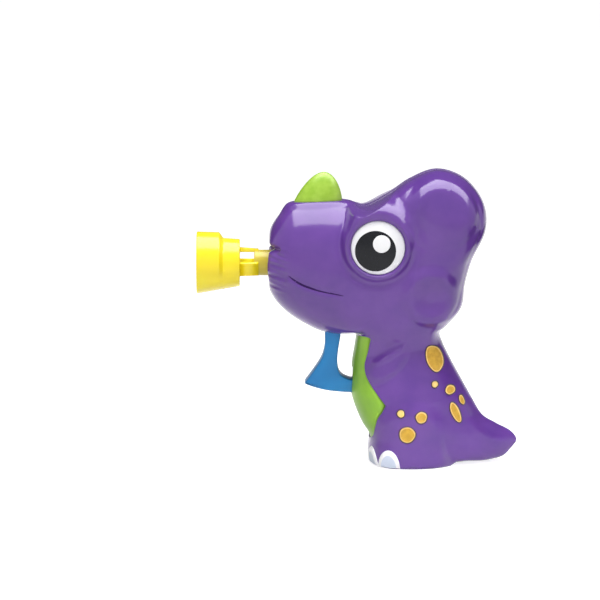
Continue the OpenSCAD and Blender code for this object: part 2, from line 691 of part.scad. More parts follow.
left_casing();
right_casing();
belly_panel();
horn();
left_eye();
right_eye();
left_pupil();
right_pupil();
eye_glints();
left_spots();
right_spots();
toenails();
bubble_ring();
air_duct();
fan_housing();
fan_cover();
fan_wheel();
fan_shaft();
fan_pinion();
first_gear();
second_gear();
gear_axles();
gear_plate();
gearbox_screws();
trigger();
return_spring();
casing_screws();
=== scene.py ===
"""Looks of a squeeze-trigger dinosaur bubble blower, dressed over its solid frame.

Lengths are millimetres until a mesh is made. x runs from the bubble ring (-) to the tail (+),
y is across with the seen side at -y, and z is up from the soles.
"""

import math

import bpy
import numpy as np
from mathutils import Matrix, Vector
from mathutils.bvhtree import BVHTree

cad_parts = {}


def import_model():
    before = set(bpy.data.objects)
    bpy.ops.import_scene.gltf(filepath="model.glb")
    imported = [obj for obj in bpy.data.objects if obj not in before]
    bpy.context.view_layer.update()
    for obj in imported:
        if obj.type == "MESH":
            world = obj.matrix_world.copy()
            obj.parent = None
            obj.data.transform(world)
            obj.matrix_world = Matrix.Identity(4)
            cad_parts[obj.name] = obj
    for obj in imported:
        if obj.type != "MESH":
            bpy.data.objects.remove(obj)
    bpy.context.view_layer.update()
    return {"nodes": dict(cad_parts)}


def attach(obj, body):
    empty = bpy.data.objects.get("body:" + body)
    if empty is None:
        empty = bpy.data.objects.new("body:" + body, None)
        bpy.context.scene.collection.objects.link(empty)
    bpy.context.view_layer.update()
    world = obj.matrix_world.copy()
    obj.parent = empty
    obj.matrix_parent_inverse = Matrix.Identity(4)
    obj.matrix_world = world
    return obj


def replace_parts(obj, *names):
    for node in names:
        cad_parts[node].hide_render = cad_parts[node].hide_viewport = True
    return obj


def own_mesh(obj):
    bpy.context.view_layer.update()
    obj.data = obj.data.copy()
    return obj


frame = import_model()

MM = 0.001

# Driving sizes
EYE = (9.2, 100.3)
EYE_R = 12.0
EYE_OUT = 27.2
EYE_RISE = 2.2
AIR_Z = 90.5
RING_FRONT = -71.8
RING_R = 14.0
STEM_R = 5.8
HORN_X = -17.3
HORN_R = 10.8
HORN_H = 12.9
TRIGGER_W = 11.0
SHELL = 2.0

# Loft stations of the casing from mouth to heel, one slice across the middle plane each:
# front x, front z, back x, back z, half width, place of the widest point, front and back fullness
STATIONS = np.array([
    [-38.7, 81.6, -38.2, 97.8, 8.5, 0.5, 2, 2],
    [-39.2, 79.4, -39.2, 101.9, 12, 0.5, 2, 2],
    [-38, 76.2, -38.5, 106.4, 14.5, 0.5, 2, 2],
    [-34.9, 71.9, -34.9, 112, 17, 0.5, 2.1, 2.1],
    [-29.9, 67.4, -29.2, 116.9, 19.6, 0.48, 2.1, 2.1],
    [-23.6, 63.4, -20.9, 118.8, 21.6, 0.46, 2.2, 2.1],
    [-16.4, 60, -10.1, 119.2, 23, 0.45, 2.3, 2.1],
    [-9.7, 58.6, -1.1, 117.7, 23.8, 0.45, 2.6, 2.1],
    [-5.6, 58.1, 4.3, 116.6, 24.2, 0.45, 3, 2.4],
    [-2.6, 57.9, 13.3, 121.2, 24.4, 0.45, 3.5, 2.8],
    [-0.4, 57.8, 24.1, 128.5, 24.5, 0.45, 4, 3],
    [0.5, 57.7, 36.2, 132.7, 24.5, 0.45, 4, 3],
    [0.9, 57.6, 48.4, 128.6, 24.4, 0.45, 4, 3],
    [1.1, 57.5, 56.8, 118, 24.3, 0.45, 4, 3],
    [1.2, 57.4, 57.8, 105.9, 24.1, 0.45, 4, 3],
    [1.2, 57.3, 51.9, 92.9, 23.8, 0.45, 4, 3],
    [1.2, 57.2, 48.8, 82, 23.4, 0.45, 4, 3],
    [1.1, 57.1, 47.2, 71.3, 22.4, 0.45, 4, 3],
    [0.7, 56.9, 41.2, 63.6, 20.5, 0.45, 4, 3],
    [-0.4, 56.3, 37.6, 59.4, 17, 0.45, 3.5, 2.8],
    [-1.6, 51, 38.9, 54.2, 16.5, 0.45, 3, 2.5],
    [-2.5, 45.6, 42.9, 46, 17.8, 0.45, 2.6, 2.3],
    [-2.6, 39.3, 47.9, 36.8, 19.5, 0.45, 2.5, 2],
    [-2.9, 32.6, 52.5, 28.5, 21, 0.45, 2.5, 1.8],
    [-0.9, 25.4, 56.8, 21.5, 21.3, 0.42, 2.5, 1.6],
    [2.1, 18.6, 63, 17.6, 21.2, 0.38, 2.6, 1.4],
    [5.4, 13.2, 69.6, 14.1, 21, 0.35, 2.8, 1.25],
    [5.3, 7.8, 72.6, 10, 21, 0.33, 3, 1.2],
    [5.6, 2.9, 69.6, 6, 21, 0.33, 3, 1.2],
    [6.8, 0.9, 63, 1.7, 20.8, 0.35, 3, 1.3],
    [8.8, 0, 56, 0, 19.6, 0.38, 3, 1.4],
])
LAST = len(STATIONS) - 1

# Share of each slice left open for the belly panel, as station and share: down to its side corner, then on
BELLY_ABOVE = [(18.4, 0), (18.9, 0.16), (19.6, 0.168), (20.3, 0.15), (20.9, 0.133), (21.6, 0.138),
               (22.2, 0.175), (22.8, 0.227), (23.4, 0.27)]
BELLY_BELOW = [(23.4, 0.27), (23.9, 0.215), (24.4, 0.153), (25.2, 0.085), (25.9, 0.03), (26.3, 0)]
BELLY_FIRST = 18.5
BELLY_LAST = 26.15

# Slot under the jaw for the trigger: first and last station, half width
SLOT = (6.25, 9.55, 6.1)

# Screws from the far side: x, z
SCREWS = [(-24, 105), (-22, 72), (42, 122), (38, 28.5), (20, 8), (55, 9)]
SCREW_HEAD_Y = 6.0
WELL_R = 3.0

# Spots on the hip and back: x, z, half length, half width, tilt in degrees
SPOTS = [(34.9, 49, 6, 3.7, 110), (35, 37.7, 1.35, 1.35, 0), (42, 34.8, 2.2, 2, 0),
         (47.3, 29.8, 2.2, 1, 112), (44.4, 24.6, 4.9, 1.8, 114), (19.6, 25.4, 1.55, 1.55, 0),
         (28.8, 23.6, 2.5, 2.5, 0), (22.5, 15.9, 3.55, 3.55, 0)]


# Curves and blends

def spline(points, u):
    """Catmull-Rom through rows of points, u from 0 to their number less one."""
    points = np.asarray(points, float)
    top = len(points) - 1
    i = np.clip(np.floor(u).astype(int), 0, top - 1)
    v = (u - i)[..., None]
    a, b = points[np.maximum(i - 1, 0)], points[i]
    c, d = points[i + 1], points[np.minimum(i + 2, top)]
    return b + v / 2 * (c - a + v * (2 * a - 5 * b + 4 * c - d + v * (3 * (b - c) + d - a)))


def smooth(a, b, v):
    u = np.clip((v - a) / (b - a), 0, 1)
    return u * u * (3 - 2 * u)


def bump(v):
    return np.exp(-v * v)


def soft_max(a, b, k):
    """The larger of two, rounded over where they differ by less than k."""
    return np.maximum(a, b) + np.maximum(k - np.abs(a - b), 0) ** 2 / (4 * k)


def ellipse_r(x, z, cx, cz, a, b, tilt=0.0):
    """0 in the middle of an ellipse, 1 on it; tilt in degrees."""
    c, s = math.cos(math.radians(tilt)), math.sin(math.radians(tilt))
    return np.hypot(((x - cx) * c + (z - cz) * s) / a, ((z - cz) * c - (x - cx) * s) / b)


def stroke(x, z, points):
    """Distance from a drawn line, share along it, and side (positive on its left)."""
    line = spline(points, np.linspace(0, len(points) - 1, 6 * len(points)))
    best = np.full(x.shape, 1e9)
    share = np.zeros(x.shape)
    side = np.zeros(x.shape)
    for k, (p, q) in enumerate(zip(line[:-1], line[1:])):
        d = q - p
        u = np.clip(((x - p[0]) * d[0] + (z - p[1]) * d[1]) / (d @ d), 0, 1)
        gap = np.hypot(x - p[0] - u * d[0], z - p[1] - u * d[1])
        nearer = gap < best
        best = np.where(nearer, gap, best)
        share = np.where(nearer, (k + u) / (len(line) - 1), share)
        side = np.where(nearer, np.sign(d[0] * (z - p[1]) - d[1] * (x - p[0])), side)
    return best, share, side


# Casing surface

def arch(t, peak, front_n, back_n):
    """Half profile across a slice: 0 at both ends, 1 at its peak, fuller for a larger power."""
    front = np.maximum(1 - np.abs(1 - t / peak) ** front_n, 0) ** (1 / front_n)
    back = np.maximum(1 - np.abs((t - peak) / (1 - peak)) ** back_n, 0) ** (1 / back_n)
    return np.where(t < peak, front, back)


# Side view of the relief: lines that its creases and ridges follow, and middles of its pads
MOUTH_LINE = [(-30.6, 87), (-27.5, 84.8), (-23.4, 82.7), (-16.3, 80.6), (-6, 78.6)]
FRILL_PAD = (37.5, 114.5)
FRILL_DISH = (33, 78)
FRILL_RIM = [(27, 127.3), (36.8, 131.4), (48, 126.4), (53.8, 117.3), (55.1, 106.5), (49.8, 92.9),
             (46.6, 80), (44.6, 72.5), (39.5, 67), (30.2, 66.3), (22.3, 70)]
CHEEK_LINE = [(25.2, 108), (26.2, 101), (26.4, 94), (25.5, 86), (22, 78)]
ARM_LINE = [(6, 47.2), (8.7, 47.8), (13.2, 49.4), (16.7, 51.7), (20.2, 54.2), (21.7, 56.9)]
ELBOW_LINE = [(7.5, 38.2), (12.8, 40), (18, 43.5)]
THIGH_LINE = [(24, 27.8), (29, 28.6), (34, 29.6), (39, 30.8)]
LEG_LINE = [(38.6, 19), (39.6, 13.3), (40.7, 7.8), (42.3, 4.1), (44, 0.7)]
RIDGE_LINE = [(38, 43.4), (44.8, 36.3), (48.8, 27.3), (53.3, 18), (60, 12.1), (65.5, 10.8), (71.5, 11)]
# Line of the neck, how far the sweep into the head reaches below and above it, and the x at which the sweep
# begins, is full, starts to fade and ends
NECK_LINE = [(-6, 56.6), (2, 57), (8, 57.6), (14, 58.8), (20, 59.3), (26, 59.9), (32, 60.6), (39, 61.5)]
NECK_BELOW = 7.5
NECK_ABOVE = 9.0
NECK_SPAN = (1.2, 6, 33, 38)


def fade_ends(share, first, last):
    """Rises over the first part of a line, up to one share, and falls after the other."""
    return smooth(0, first, share) * smooth(1, last, share)


def frill_relief(x, z):
    """A pad and a shallow dish in the frill, a ridge by the cheek, and the rim round its back edge."""
    upper = np.hypot(x - FRILL_PAD[0], z - FRILL_PAD[1])
    lower = np.hypot(x - FRILL_DISH[0], z - FRILL_DISH[1])
    # Pad, its crown and the hollow before it
    high = 1.5 * smooth(17.2, 14.6, upper) * smooth(97, 112, z) * smooth(18, 29, x)
    high += 0.9 * bump((upper - 12.3) / 3) * smooth(106, 118, z) * smooth(22, 30, x)
    high -= 0.7 * smooth(11, 0, np.hypot(x - 31, z - 109))
    # Rim and floor of the dish
    high += 1.4 * smooth(15, 9, lower) - 2.2 * smooth(10, 2, lower)
    d, share, _ = stroke(x, z, CHEEK_LINE)
    high += 0.6 * fade_ends(share, 0.25, 0.75) * bump(d / 2)
    # Groove inside the back edge that turns into a ridge below
    d, share, _ = stroke(x, z, FRILL_RIM)
    groove = smooth(0, 0.12, share) * smooth(0.8, 0.72, share)
    ridge = smooth(0.74, 0.84, share) * smooth(1, 0.9, share)
    return high - 0.65 * groove * bump(d / 0.9) + 0.9 * ridge * bump(d / 1.3)


def limb_relief(x, z):
    """Arm, thigh, leg and the ridge of the tail."""
    high = 1.8 * smooth(1.15, 0.6, ellipse_r(x, z, 13.5, 46.5, 12, 5.5, 40))
    high += 2.4 * smooth(1.1, 0.72, ellipse_r(x, z, 24, 10, 19.5, 19.5))
    d, share, side = stroke(x, z, ARM_LINE)
    high += fade_ends(share, 0.2, 0.85) * (0.7 * bump(d / 1.2) - 0.3 * bump((d - 3.2) / 2) * (side > 0))
    d, share, _ = stroke(x, z, ELBOW_LINE)
    high -= 0.35 * fade_ends(share, 0.3, 0.6) * bump(d / 2)
    d, share, _ = stroke(x, z, THIGH_LINE)
    high += 0.2 * fade_ends(share, 0.3, 0.8) * bump(d / 1.1)
    d, share, side = stroke(x, z, LEG_LINE)
    high -= 1.9 * smooth(0, 0.45, share) * np.where(side > 0, np.exp(-d / 4), bump(d / 2))
    d, share, side = stroke(x, z, RIDGE_LINE)
    return high + smooth(0, 0.3, share) * (0.5 * bump(d / 2) - 0.7 * bump((d - 4) / 2.6) * (side > 0))


def mouth_relief(x, z):
    """Crease of the mouth, the lower lip under it and small folds round the ring's stem."""
    d, share, side = stroke(x, z, MOUTH_LINE)
    high = fade_ends(share, 0.12, 0.85) * (0.5 * bump((d - 2) / 2) * (side < 0) - 0.4 * bump(d / 1.1))
    corner = np.hypot(x + 32.5, (z - 86) / 1.3)
    fold = smooth(-29, -36, x) * smooth(77, 81, z) * smooth(101, 97, z)
    folds = 0.34 * np.sin(z * 1.35 + 0.9) + 0.22 * np.sin(z * 2.5 + x * 0.8)
    return high + fold * folds - 0.9 * bump(corner / 2.2)


def eye_away(x, z):
    return np.hypot(x - EYE[0], z - EYE[1])


def from_eye(x, z, lean):
    """1 straight above the eye, with a lean to the back in degrees, and -1 on its other side."""
    c, s = math.cos(math.radians(lean)), math.sin(math.radians(lean))
    return (s * (x - EYE[0]) + c * (z - EYE[1])) / np.maximum(eye_away(x, z), 0.1)


def brow_share(x, z):
    """1 above the eye, 0 beside and below it."""
    return smooth(0.5, 0.97, from_eye(x, z, 0))


def eye_relief(x, z):
    """Shallow grooves round the foot of the eye's mound and over the brow."""
    away = eye_away(x, z)
    foot = bump((away - EYE_R - 5) / 1.5) * (1 - brow_share(x, z))
    behind_brow = smooth(0.35, 0.9, from_eye(x, z, 30))
    over_brow = bump((away - EYE_R - 7.8 - 0.1 * (x - EYE[0])) / 2.1) * behind_brow
    return -0.5 * foot - 0.5 * over_brow


def relief(x, z):
    """Raised and sunk forms of the outside."""
    return frill_relief(x, z) + limb_relief(x, z) + mouth_relief(x, z) + eye_relief(x, z)


def eye_mound(x, z):
    """The eye stands on a mound with a round shoulder, wider above as a brow."""
    away, brow = eye_away(x, z), brow_share(x, z)
    return EYE_OUT - 0.9 - (0.55 - 0.35 * brow) * np.maximum(away - EYE_R - 1.3 - 1.7 * brow, 0) ** 2


def loft(s, t):
    """Side-view place and depth of the bare loft at station s and share t."""
    q = spline(STATIONS, s)
    x = q[..., 0] + t * (q[..., 2] - q[..., 0])
    z = q[..., 1] + t * (q[..., 3] - q[..., 1])
    return x, q[..., 4] * arch(t, q[..., 5], q[..., 6], q[..., 7]), z


def loft_depth(x, z):
    return loft(*station_at(x, z))[1]


def swept_neck(x, depth, z):
    """Runs the head into the neck in one smooth sweep."""
    line = np.interp(x, *np.transpose(NECK_LINE))
    u = (z - line + NECK_BELOW) / (NECK_BELOW + NECK_ABOVE)
    begins, full, fades, ends = NECK_SPAN
    near = (u > 0) & (u < 1) & (x > begins) & (x < ends)
    at, line = x[near], line[near]
    low, high = loft_depth(at, line - NECK_BELOW), loft_depth(at, line + NECK_ABOVE)
    sweep = low + (high - low) * smooth(0, 1, u[near])
    swept = depth.copy()
    swept[near] += smooth(begins, full, at) * smooth(ends, fades, at) * (sweep - depth[near])
    return swept


def outside(s, t):
    """Side-view place and depth of the skin."""
    x, base, z = loft(s, t)
    plain = swept_neck(x, base, z) + relief(x, z) * np.minimum(base / 8, 1)
    mound = eye_mound(x, z) * np.minimum(base / 11, 1)
    softness = 1.6 + 4.5 * smooth(0.2, 0.8, from_eye(x, z, 25))
    return x, soft_max(plain, mound, softness), z


def skin_depth(x, z):
    """Depth of the skin at points of the side view."""
    return outside(*station_at(x, z))[1]


def station_at(x, z):
    """Station and share of points of the side view, by halving over the stations."""
    x, z = np.broadcast_arrays(np.asarray(x, float), np.asarray(z, float))
    low, high = np.zeros(x.shape), np.full(x.shape, float(LAST))
    for _ in range(26):
        mid = (low + high) / 2
        q = spline(STATIONS, mid)
        rise, run_x = q[..., 3] - q[..., 1], q[..., 2] - q[..., 0]
        before = run_x * (z - q[..., 1]) > rise * (x - q[..., 0])
        high = np.where(before, mid, high)
        low = np.where(before, low, mid)
    q = spline(STATIONS, low)
    along = q[..., 2:4] - q[..., 0:2]
    t = ((x - q[..., 0]) * along[..., 0] + (z - q[..., 1]) * along[..., 1]) / (along ** 2).sum(-1)
    return low, t


def share_at(q, y):
    """Share of a slice, from its front, at which the plain skin is y deep."""
    ratio = np.clip(y / q[..., 4], 0, 1)
    return q[..., 5] * (1 - (1 - ratio ** q[..., 6]) ** (1 / q[..., 6]))


# Mesh making

def make_mesh(name, points, faces):
    mesh = bpy.data.meshes.new(name)
    mesh.from_pydata((np.asarray(points, float) * MM).tolist(), [], faces)
    mesh.validate()
    mesh.polygons.foreach_set("use_smooth", [True] * len(mesh.polygons))
    mesh.update()
    piece = bpy.data.objects.new(name, mesh)
    bpy.context.scene.collection.objects.link(piece)
    return piece


def dress(piece, material, slot, body, *nodes):
    """Gives a piece its material and body, and names the solids that it stands for; slot is not used."""
    piece.data.materials.append(material)
    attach(piece, body)
    if nodes:
        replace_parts(piece, *nodes)
    return piece


def grid_faces(rows, cols, closed=False, keep=None):
    """Four-sided faces between rows of points; closed joins the last point of a row to its first."""
    faces = []
    for i in range(rows - 1):
        for j in range(cols if closed else cols - 1):
            if keep is None or keep[i, j]:
                a, b = i * cols + j, i * cols + (j + 1) % cols
                faces.append((a, b, b + cols, a + cols))
    return faces


class Parts:
    """Points and faces of one mesh, gathered from several forms."""

    def __init__(self):
        self.points = np.zeros((0, 3))
        self.faces = []

    def add(self, points, faces):
        first = len(self.points)
        self.points = np.vstack([self.points, np.asarray(points, float).reshape(-1, 3)])
        self.faces += [tuple(first + i for i in f) for f in faces]

    def mesh(self, name):
        return make_mesh(name, self.points, self.faces)

    def mirrored(self):
        other = Parts()
        other.add(self.points * [1, -1, 1], [f[::-1] for f in self.faces])
        return other


def lathe(profile, steps):
    """Rows of (radius, height) turned about z."""
    profile = np.asarray(profile, float)
    angle = np.arange(steps) * 2 * math.pi / steps
    r, h = profile[:, 0, None], profile[:, 1, None]
    points = np.stack([r * np.cos(angle), r * np.sin(angle), h + 0 * angle], -1).reshape(-1, 3)
    return points, grid_faces(len(profile), steps, closed=True)


def rounded(profile, radius, steps=4):
    """A profile with each inner corner turned into a small arc."""
    profile = np.asarray(profile, float)
    out = [profile[0]]
    for before, corner, after in zip(profile[:-2], profile[1:-1], profile[2:]):
        a, b = before - corner, after - corner
        cut = min(radius, 0.45 * np.linalg.norm(a), 0.45 * np.linalg.norm(b))
        start = corner + a / np.linalg.norm(a) * cut
        end = corner + b / np.linalg.norm(b) * cut
        for u in np.linspace(0, 1, steps + 1):
            out.append((1 - u) ** 2 * start + 2 * u * (1 - u) * corner + u * u * end)
    out.append(profile[-1])
    return np.array(out)


def slab(parts, outline, low, high, edge):
    """Side-view outline between two y, its edges rounded by insets."""
    outline = np.asarray(outline, float)
    ahead = np.roll(outline, -1, 0) - outline
    ahead /= np.linalg.norm(ahead, axis=1)[:, None]
    turn = ahead + np.roll(ahead, 1, 0)
    turn /= np.maximum(np.linalg.norm(turn, axis=1), 1e-6)[:, None]
    following = np.roll(outline, -1, 0)
    area = np.sum(outline[:, 0] * following[:, 1] - following[:, 0] * outline[:, 1])
    inward = np.stack([-turn[:, 1], turn[:, 0]], 1) * np.sign(area)
    rows = []
    for a in np.linspace(0, math.pi / 2, 4):
        rows.append((edge * (1 - math.sin(a)), low + edge * (1 - math.cos(a))))
    for a in np.linspace(math.pi / 2, 0, 4):
        rows.append((edge * (1 - math.sin(a)), high - edge * (1 - math.cos(a))))
    n = len(outline)
    points = []
    for d, y in rows:
        drawn = outline + inward * d
        points.append(np.column_stack([drawn[:, 0], np.full(n, y), drawn[:, 1]]))
    faces = grid_faces(len(rows), n, closed=True)
    faces.append(tuple(range(n))[::-1])
    faces.append(tuple((len(rows) - 1) * n + i for i in range(n)))
    parts.add(np.vstack(points), faces)


# Materials

def shader(name, colour, roughness, specular=0.5):
    """A material and its main shader node."""
    material = bpy.data.materials.new(name)
    material.use_nodes = True
    main = material.node_tree.nodes["Principled BSDF"]
    main.inputs["Base Color"].default_value = (*colour, 1)
    main.inputs["Roughness"].default_value = roughness
    main.inputs["Specular IOR Level"].default_value = specular
    return material, main


def add_node(material, kind, **values):
    """A node with its sockets or settings set by name."""
    node = material.node_tree.nodes.new(kind)
    for key, value in values.items():
        if key in node.inputs:
            node.inputs[key].default_value = value
        else:
            setattr(node, key, value)
    return node


def noise(material, scale, detail=3.0):
    """Noise over the object's own coordinates, scale in waves per metre."""
    place = add_node(material, "ShaderNodeTexCoord")
    field = add_node(material, "ShaderNodeTexNoise", Scale=scale, Detail=detail)
    material.node_tree.links.new(place.outputs["Object"], field.inputs["Vector"])
    return field.outputs["Fac"]


def blend_ramp(material, source, stops):
    """Colour ramp over a field, from its low stop to its high one."""
    ramp = add_node(material, "ShaderNodeValToRGB")
    for element, (place, colour) in zip(ramp.color_ramp.elements, stops):
        element.position = place
        element.color = (*colour, 1)
    material.node_tree.links.new(source, ramp.inputs["Fac"])
    return ramp.outputs["Color"]


def linear(red, green, blue):
    """Colour as seen, 0 to 255, in linear light."""
    return tuple(v / 12.92 if v <= 0.04045 else ((v + 0.055) / 1.055) ** 2.4
                 for v in (red / 255, green / 255, blue / 255))


def plastic(name, dark, light, roughness, specular=0.5, patch=60, grain=2600, depth=0.00002):
    """Moulded plastic: slow colour drift, uneven gloss and a fine skin."""
    material, main = shader(name, light, roughness, specular)
    links = material.node_tree.links
    links.new(blend_ramp(material, noise(material, patch), [(0.35, dark), (0.65, light)]),
              main.inputs["Base Color"])
    gloss = add_node(material, "ShaderNodeMapRange")
    gloss.inputs["To Min"].default_value = roughness * 0.8
    gloss.inputs["To Max"].default_value = roughness * 1.25
    links.new(noise(material, patch * 2), gloss.inputs["Value"])
    links.new(gloss.outputs["Result"], main.inputs["Roughness"])
    skin = add_node(material, "ShaderNodeBump", Strength=0.35, Distance=depth)
    links.new(noise(material, grain, 2.0), skin.inputs["Height"])
    links.new(skin.outputs["Normal"], main.inputs["Normal"])
    return material


purple = plastic("purple_plastic", linear(92, 53, 141), linear(102, 60, 150), 0.15)
# Painted shade: a dark purple for strips laid in the mouth creases, where their shade falls.
crease_shade_paint = plastic("crease_painted_shade", linear(48, 22, 78), linear(56, 26, 90), 0.6, specular=0.1)
lime = plastic("lime_plastic", linear(126, 176, 44), linear(146, 196, 52), 0.34)
horn_lime = plastic("horn_plastic", linear(144, 186, 48), linear(160, 198, 64), 0.3, patch=300)
yellow = plastic("yellow_plastic", linear(250, 226, 26), linear(254, 236, 44), 0.2)
# Painted shade: a darker, olive copy of the yellow for the stem, which sits in the shade of the mouth.
shaded_stem_yellow = plastic("stem_yellow_painted_shade", linear(196, 178, 52), linear(210, 190, 60), 0.3)
blue = plastic("blue_plastic", linear(18, 114, 176), linear(26, 126, 188), 0.36)
white = plastic("white_plastic", linear(238, 238, 240), linear(246, 246, 248), 0.22)
black = plastic("black_plastic", linear(12, 14, 20), linear(18, 20, 27), 0.2, specular=0.25)
gold = plastic("gold_paint", linear(196, 150, 40), linear(214, 168, 52), 0.42, patch=500, grain=4200)
# Painted highlight: a paler gold for the edges of the spots, and for the smallest spots all over.
gold_painted_highlight = plastic("gold_painted_highlight", linear(234, 196, 104), linear(244, 210, 128), 0.42, patch=500)
# Painted shade: a dark outline round each spot, standing for the shade of a groove round it.
spot_groove_shade = plastic("spot_outline_painted_shade", linear(58, 26, 58), linear(70, 32, 66), 0.5)
nail_white = plastic("nail_paint", linear(240, 241, 246), linear(250, 250, 252), 0.34)
# Painted shade: pale blue-grey for the inner half-round of each toenail, the shade of a dimple.
nail_painted_shade = plastic("nail_painted_shade", linear(204, 214, 234), linear(216, 224, 240), 0.4)
grey = plastic("grey_plastic", linear(196, 196, 190), linear(210, 210, 204), 0.42)


def brushed_steel():
    material, main = shader("steel", linear(176, 178, 182), 0.32)
    main.inputs["Metallic"].default_value = 1.0
    links = material.node_tree.links
    streaks = noise(material, 900)
    tone = blend_ramp(material, streaks, [(0.3, linear(150, 152, 156)), (0.7, linear(196, 198, 202))])
    links.new(tone, main.inputs["Base Color"])
    return material


steel = brushed_steel()


# Casing halves

ROWS = 20 * LAST + 1
COLS = 160
SEAM = 0.2
# Depth at which the skin turns in to the seam
EDGE_Y = 0.3


def belly_share(s):
    """Share of each slice, from its front, that the belly panel takes."""
    lines = [spline(line, np.linspace(0, len(line) - 1, 80)) for line in (BELLY_ABOVE, BELLY_BELOW)]
    edge = np.vstack(lines)
    return np.interp(s, edge[:, 0], edge[:, 1], left=0, right=0)


def open_share(s):
    """Share of each slice, from its front, that is cut away for the belly panel or the trigger slot."""
    slot = np.where((s > SLOT[0]) & (s < SLOT[1]), share_at(spline(STATIONS, s), SLOT[2]), 0)
    return np.maximum(belly_share(s), slot)


def horn_seat(x, y):
    """Height of the seat on the snout that the horn stands on."""
    return 118.6 + 0.04 * (x - HORN_X) + 0.2 * np.minimum((y / 6.4) ** 2, 1.4)


def jaw_lift(x, y, z):
    """The jaw's underside rises to a round corner over the belly panel."""
    return 1.3 * bump((x - 1) / 8) * bump((z - 57) / 3.2) * (1 + np.abs(y) / 22)


def shape_ends(x, y, z):
    """Shapes the jaw's corner, the tail's underside, the seat of the horn and the lips round the stem."""
    z = z + jaw_lift(x, y, z)
    # The tail leaves the ground behind the heel and is full below near its end
    z = z + 1.3 * smooth(42, 45.5, x) * smooth(60, 48, x) * smooth(4, 0, z)
    z = z - 1.1 * bump((x - 67) / 4) * smooth(9, 4, z)
    near = smooth(1.6, 1.02, np.hypot((x - HORN_X) / (HORN_R + 0.6), y / 6.8)) * (z > 105)
    z = z + near * np.maximum(horn_seat(x, y) - 0.1 - z, 0)
    # The lips stand out round the stem, with a fold over it
    x = x - 0.8 * smooth(-35.5, -38.5, x) * bump((z - 90) / 5.5)
    x = x + 2.8 * bump((z - 98.2) / 1.2) * smooth(-33.5, -37.5, x)
    return x, z


def half_shell():
    """Grid of points of the left half, each row closed by the seam or by the lip of an opening."""
    s = np.linspace(0, LAST, ROWS)
    q = spline(STATIONS, s)
    opening = open_share(s)
    start = np.maximum(opening, share_at(q, EDGE_Y))[:, None]
    back_ratio = (EDGE_Y / q[:, 4]) ** q[:, 7]
    end = (q[:, 5] + (1 - q[:, 5]) * (1 - back_ratio) ** (1 / q[:, 7]))[:, None]
    even = (1 - np.cos(np.linspace(0, math.pi, COLS))) / 2
    t = start + (end - start) * even
    x, y, z = outside(s[:, None] + 0 * t, t)
    x, z = shape_ends(x, y, z)
    across = q[:, 2:4] - q[:, 0:2]
    across /= np.linalg.norm(across, axis=1)[:, None]
    closed = opening <= 0
    inward = np.where(closed, SEAM, SHELL)
    lip_y = np.where(closed, 0, np.maximum(y[:, 0] - 1, 0))
    lip = np.stack([x[:, 0] + across[:, 0] * inward, lip_y, z[:, 0] + across[:, 1] * inward], -1)
    seam = np.stack([x[:, -1] - across[:, 0] * SEAM, 0 * lip_y, z[:, -1] - across[:, 1] * SEAM], -1)
    grid = np.concatenate([lip[:, None], np.stack([x, y, z], -1), seam[:, None]], 1)
    grid[..., 2] = np.maximum(grid[..., 2], 0)
    return grid * [1, -1, 1]


def mouth_roll(ring):
    """Rows that turn the lips in to the stem."""
    angle = np.linspace(-math.pi / 2, math.pi / 2, len(ring))
    rows = []
    for share, inset, gap in ((1, 7, 0.4), (1, 2, 0.7), (1, 0.7, 1.3), (0.5, -0.4, 1.6)):
        r = STEM_R + gap
        circle = np.stack([ring[:, 0], -r * np.cos(angle), AIR_Z - 0.5 + r * np.sin(angle)], -1)
        rows.append(ring * (1 - share) + circle * share + [inset, 0, 0])
    return rows


def cut_round(points, keep, parts, centre, reach, rings):
    """Replaces a patch of the grid by rings about a point, each given as radius and depth of its points."""
    gap = np.hypot(points[..., 0] - centre[0], points[..., 2] - centre[1])
    near = np.argwhere((gap < reach) & (points[..., 1] < -2))
    (i0, j0), (i1, j1) = near.min(0), near.max(0)
    keep[i0:i1, j0:j1] = False
    loop = ([(i0, j) for j in range(j0, j1)] + [(i, j1) for i in range(i0, i1)]
            + [(i1, j) for j in range(j1, j0, -1)] + [(i, j0) for i in range(i1, i0, -1)])
    edge = np.array([points[i, j] for i, j in loop])
    angle = np.arctan2(edge[:, 2] - centre[1], edge[:, 0] - centre[0])
    turn = np.stack([np.cos(angle), np.sin(angle)], -1)
    rows = [edge]
    for u in np.linspace(0, 1, 15)[1:-1]:
        place = edge[:, ::2] * (1 - u) + (centre + rings[0][0] * turn) * u
        rows.append(np.stack([place[:, 0], -skin_depth(place[:, 0], place[:, 1]), place[:, 1]], -1))
    for r, depth in rings:
        x, z = (centre + r * turn).T
        rows.append(np.stack([x, -(depth(x, z) + 0 * x), z], -1))
    n = len(loop)
    faces = grid_faces(len(rows), n, closed=True)
    faces.append(tuple((len(rows) - 1) * n + i for i in range(n)))
    parts.add(np.vstack(rows), faces)


def eye_rings():
    """The shoulder of the mound, its rounded rim and the wall of the socket."""
    rings = [(r, skin_depth) for r in np.linspace(EYE_R + 2.6, EYE_R + 1.6, 5)]
    rim = [(1.3, 0.88), (1.0, 0.97), (0.7, 1.15), (0.45, 1.42), (0.25, 1.8), (0.12, 2.3), (0.06, 3),
           (0.04, 5)]
    return rings + [(EYE_R + out, lambda x, z, down=down: EYE_OUT - down) for out, down in rim]


def well_rings():
    """A screw well: rounded mouth, straight wall, floor."""
    rings = [(WELL_R + d, skin_depth) for d in (1.2, 0.6, 0.25)]
    rings.append((WELL_R + 0.05, lambda x, z: skin_depth(x, z) - 0.15))
    rings.append((WELL_R, lambda x, z: skin_depth(x, z) - 0.5))
    rings.append((WELL_R, lambda x, z: SCREW_HEAD_Y + 0.2))
    rings.append((1.4, lambda x, z: SCREW_HEAD_Y))
    return rings


